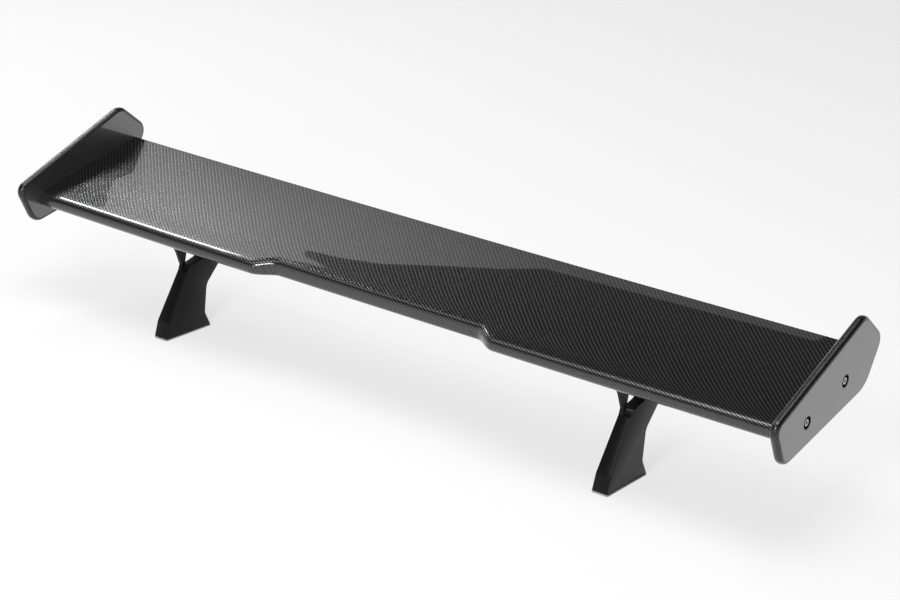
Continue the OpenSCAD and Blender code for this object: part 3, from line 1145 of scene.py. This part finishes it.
def round_tool(radius: float, length: float, centre: Vector) -> bpy.types.Object:
    """A cylinder along X to cut with.

    Args:
        radius: Its radius.
        length: Its length.
        centre: Its middle.

    Returns:
        The object, which the caller removes.
    """
    sides = 64
    mesh = bpy.data.meshes.new("cutter")
    work = bmesh.new()
    place = Matrix.Translation(centre) @ Matrix.Rotation(math.pi / 2, 4, "Y")
    bmesh.ops.create_cone(
        work, cap_ends=True, segments=sides, radius1=radius, radius2=radius, depth=length, matrix=place)
    work.loops.layers.uv.new("cloth")
    work.to_mesh(mesh)
    work.free()
    tool = bpy.data.objects.new("cutter", mesh)
    bpy.context.scene.collection.objects.link(tool)
    return tool


# ------------------------------------------------------------------------------ studio


@dataclass(frozen=True)
class Silk(Finish):
    """A lit cloth, brightest at one place and dimmer with the distance from it.

    Attributes:
        centre: The brightest place.
        near: Distance from it where the light begins to fall.
        far: Distance from it where the light has fallen.
        bright: Strength of the light up to the near distance.
        dim: Strength of the light beyond the far distance.
    """

    centre: Point3
    near: float = 0.2
    far: float = 1.5
    bright: float = 1.6
    dim: float = 0.5

    def surface(self, graph: Graph) -> bpy.types.NodeSocket:
        """Builds the surface.

        Args:
            graph: The material's empty graph.

        Returns:
            The shader's socket.
        """
        place = graph.node("ShaderNodeNewGeometry").output("Position")
        gap = graph.node("ShaderNodeVectorMath", {"operation": "DISTANCE"}, {0: place, 1: self.centre})
        share = ((gap.value("Value") - self.near) / (self.far - self.near)).most(0.0).least(1.0)
        lit, faint = (
            graph.node("ShaderNodeEmission", None, {"Color": grey(1.0), "Strength": strength}).output()
            for strength in (self.bright, self.dim))
        return graph.node("ShaderNodeMixShader", None, {0: share, 1: lit, 2: faint}).output()


@dataclass(frozen=True)
class SilkPanel:
    """A flat overhead panel of lit silk.

    Attributes:
        name: Its name.
        height: Its height above the floor.
        corners: Its outline, as X and Y.
        silk: Its finish.
    """

    name: str
    height: float
    corners: tuple[Point2, ...]
    silk: Silk

    def hang(self) -> None:
        """Adds the panel to the scene."""
        mesh = bpy.data.meshes.new(self.name)
        points = [(*corner, self.height) for corner in self.corners]
        mesh.from_pydata(points, [], [range(len(points))])
        mesh.materials.append(self.silk.material())
        panel = bpy.data.objects.new(self.name, mesh)
        panel.visible_camera = False
        bpy.context.scene.collection.objects.link(panel)


@dataclass(frozen=True)
class Softbox:
    """A rectangular lamp.

    Attributes:
        name: Its name.
        place: Where it hangs.
        size: Its two sides.
        radiance: How bright it looks, where 1 is white.
        aim: The place that it points at, on the wing unless it says otherwise.
    """

    name: str
    place: Point3
    size: Point2
    radiance: float
    aim: Point3 = (0.0, 0.0, 0.15)

    def hang(self) -> None:
        """Adds the lamp to the scene."""
        lamp = bpy.data.lights.new(self.name, "AREA")
        lamp.shape = "RECTANGLE"
        lamp.size, lamp.size_y = self.size
        lamp.energy = self.radiance * math.pi * self.size[0] * self.size[1]
        holder = bpy.data.objects.new(self.name, lamp)
        holder.visible_camera = False
        bpy.context.scene.collection.objects.link(holder)
        look = (Vector(self.aim) - Vector(self.place)).to_track_quat("-Z", "Y").to_matrix().to_4x4()
        holder.matrix_world = Matrix.Translation(self.place) @ look
        LOG.info("lamp %s, %.0f W", self.name, lamp.energy)


@dataclass
class Studio:
    """The pale floor, the lamps and the camera.

    Attributes:
        floor_radius: Radius of the round floor.
        floor_bend: Radius of the curve between the floor and its wall.
        floor_spokes: Sides of the floor and steps of the curve.
        wall_height: Height of the low wall.
        eye: Where the camera stands.
        turn: How it is turned about X, Y and Z, in degrees.
        focal: Its focal length on a frame 36 mm wide, in millimetres.
        horizon: The room's grey by the sine of the height above the horizon.
        panel: The silk that lights the left half of the wing. Its right and rear edges end the
            bright part of the reflection, and its left edge ends it beside the left end plate.
        lamps: The lamps. The edge box draws the white line along the nose.
    """

    floor_radius: float = 9.0
    floor_bend: float = 1.6
    floor_spokes: tuple[int, int] = (64, 8)
    wall_height: float = 2.6
    eye: Point3 = (1.9182, -2.5386, 1.3464)
    turn: Point3 = (69.747, -3.202, 36.641)
    focal: float = 88.73
    horizon: tuple[Point2, ...] = ((0.0, 0.40), (0.25, 0.20), (0.45, 0.065), (1.0, 0.08))
    panel: SilkPanel = SilkPanel(
        "rear_silk", 2.2,
        ((-1.90, -0.45), (-1.95, 0.72), (-2.06, 1.29), (-2.05, 1.50), (-1.93, 1.525), (-1.81, 1.585),
         (-1.68, 1.74), (-1.54, 1.90), (-1.45, 2.06), (-0.57, 2.12), (-0.57, 2.6), (-3.45, 2.6), (-3.23, 2.2),
         (-2.91, 1.55), (-2.78, 1.2), (-2.78, -0.45)),
        Silk("lit_silk", (-2.35, 1.0, 2.2)))
    lamps: tuple[Softbox, ...] = (
        Softbox("sheen_box", (-2.40, 1.50, 1.35), (0.3, 0.3), 3.0, (-0.4, 0.05, 0.2)),
        Softbox("low_box", (-2.85, 0.50, 1.45), (1.10, 0.30), 2.4),
        Softbox("edge_box", (-2.38, 0.80, 2.15), (0.75, 0.30), 22.0, (-2.38, 0.80, 0.0)),
        Softbox("front_silk", (-1.10, -0.90, 2.20), (1.6, 1.6), 0.9, (-1.10, -0.90, 0.0)),
        Softbox("overhead_box", (0.30, -0.30, 3.20), (2.0, 2.0), 5.0),
        Softbox("front_box", (0.86, -2.98, 1.98), (0.8, 0.8), 30.0),
    )

    def lay_floor(self) -> None:
        """Adds a round floor that curves up into a low wall."""
        mesh = bpy.data.meshes.new("studio_floor")
        work = bmesh.new()
        sides, steps = self.floor_spokes
        flat, bend = self.floor_radius - self.floor_bend, self.floor_bend
        rises = [0.5 * math.pi * i / steps for i in range(steps + 1)]
        profile = [(flat + bend * math.sin(a), bend * (1.0 - math.cos(a))) for a in rises]
        profile.append((self.floor_radius, self.wall_height))
        spokes = [2.0 * math.pi * j / sides for j in range(sides)]
        rows = [
            [work.verts.new((radius * math.cos(a), radius * math.sin(a), z)) for a in spokes]
            for radius, z in profile]
        work.faces.new(rows[0])
        for here, there in zip(rows, rows[1:]):
            for j in range(sides):
                k = (j + 1) % sides
                work.faces.new((here[j], there[j], there[k], here[k]))
        bmesh.ops.recalc_face_normals(work, faces=work.faces)
        work.to_mesh(mesh)
        work.free()
        mesh.shade_smooth()
        floor = bpy.data.objects.new("studio_floor", mesh)
        bpy.context.scene.collection.objects.link(floor)
        mesh.materials.append(FLOOR_WHITE.material())

    def light(self) -> None:
        """Hangs the lamps and sets a dim room that is lighter at the horizon."""
        for lamp in self.lamps:
            lamp.hang()
        self.panel.hang()
        world = bpy.data.worlds.new("studio")
        bpy.context.scene.world = world
        world.use_nodes = True
        graph = Graph(world.node_tree)
        way = graph.node("ShaderNodeTexCoord").output("Generated")
        rise = graph.node("ShaderNodeSeparateXYZ", None, {"Vector": way}).value("Z")
        stops = [(place, grey(level)) for place, level in self.horizon]
        tone = graph.node("ShaderNodeValToRGB", {"stops": stops}, {"Fac": rise})
        glow = graph.node("ShaderNodeBackground", None, {"Color": tone.output(), "Strength": 1.0})
        graph.node("ShaderNodeOutputWorld", None, {"Surface": glow.output()})

    def set_camera(self) -> None:
        """Adds the camera."""
        lens = bpy.data.cameras.new("camera")
        lens.sensor_fit = "HORIZONTAL"
        lens.sensor_width = 36.0
        lens.lens = self.focal
        lens.clip_end = 4 * self.floor_radius
        holder = bpy.data.objects.new("camera", lens)
        turn = Euler([math.radians(angle) for angle in self.turn])
        holder.matrix_world = Matrix.LocRotScale(Vector(self.eye), turn, None)
        bpy.context.scene.collection.objects.link(holder)
        bpy.context.scene.camera = holder

    def build(self) -> None:
        """Sets the whole studio and a plain view transform."""
        self.lay_floor()
        self.light()
        self.set_camera()
        bpy.context.scene.view_settings.view_transform = "Standard"


# ------------------------------------------------------------------------------ main


def main() -> None:
    """Dresses the wing and sets the studio."""
    logging.basicConfig(level=logging.INFO, format="%(name)s: %(message)s")
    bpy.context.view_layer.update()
    wing = Wing()
    plates = EndPlates(wing)
    wing.dress()
    plates.dress()
    done = [skin.node for skin in Skin] + [f"end_plate_{side.word}" for side in Side]
    Solids().dress(done)
    Studio().build()


if __name__ == "__main__":
    main()
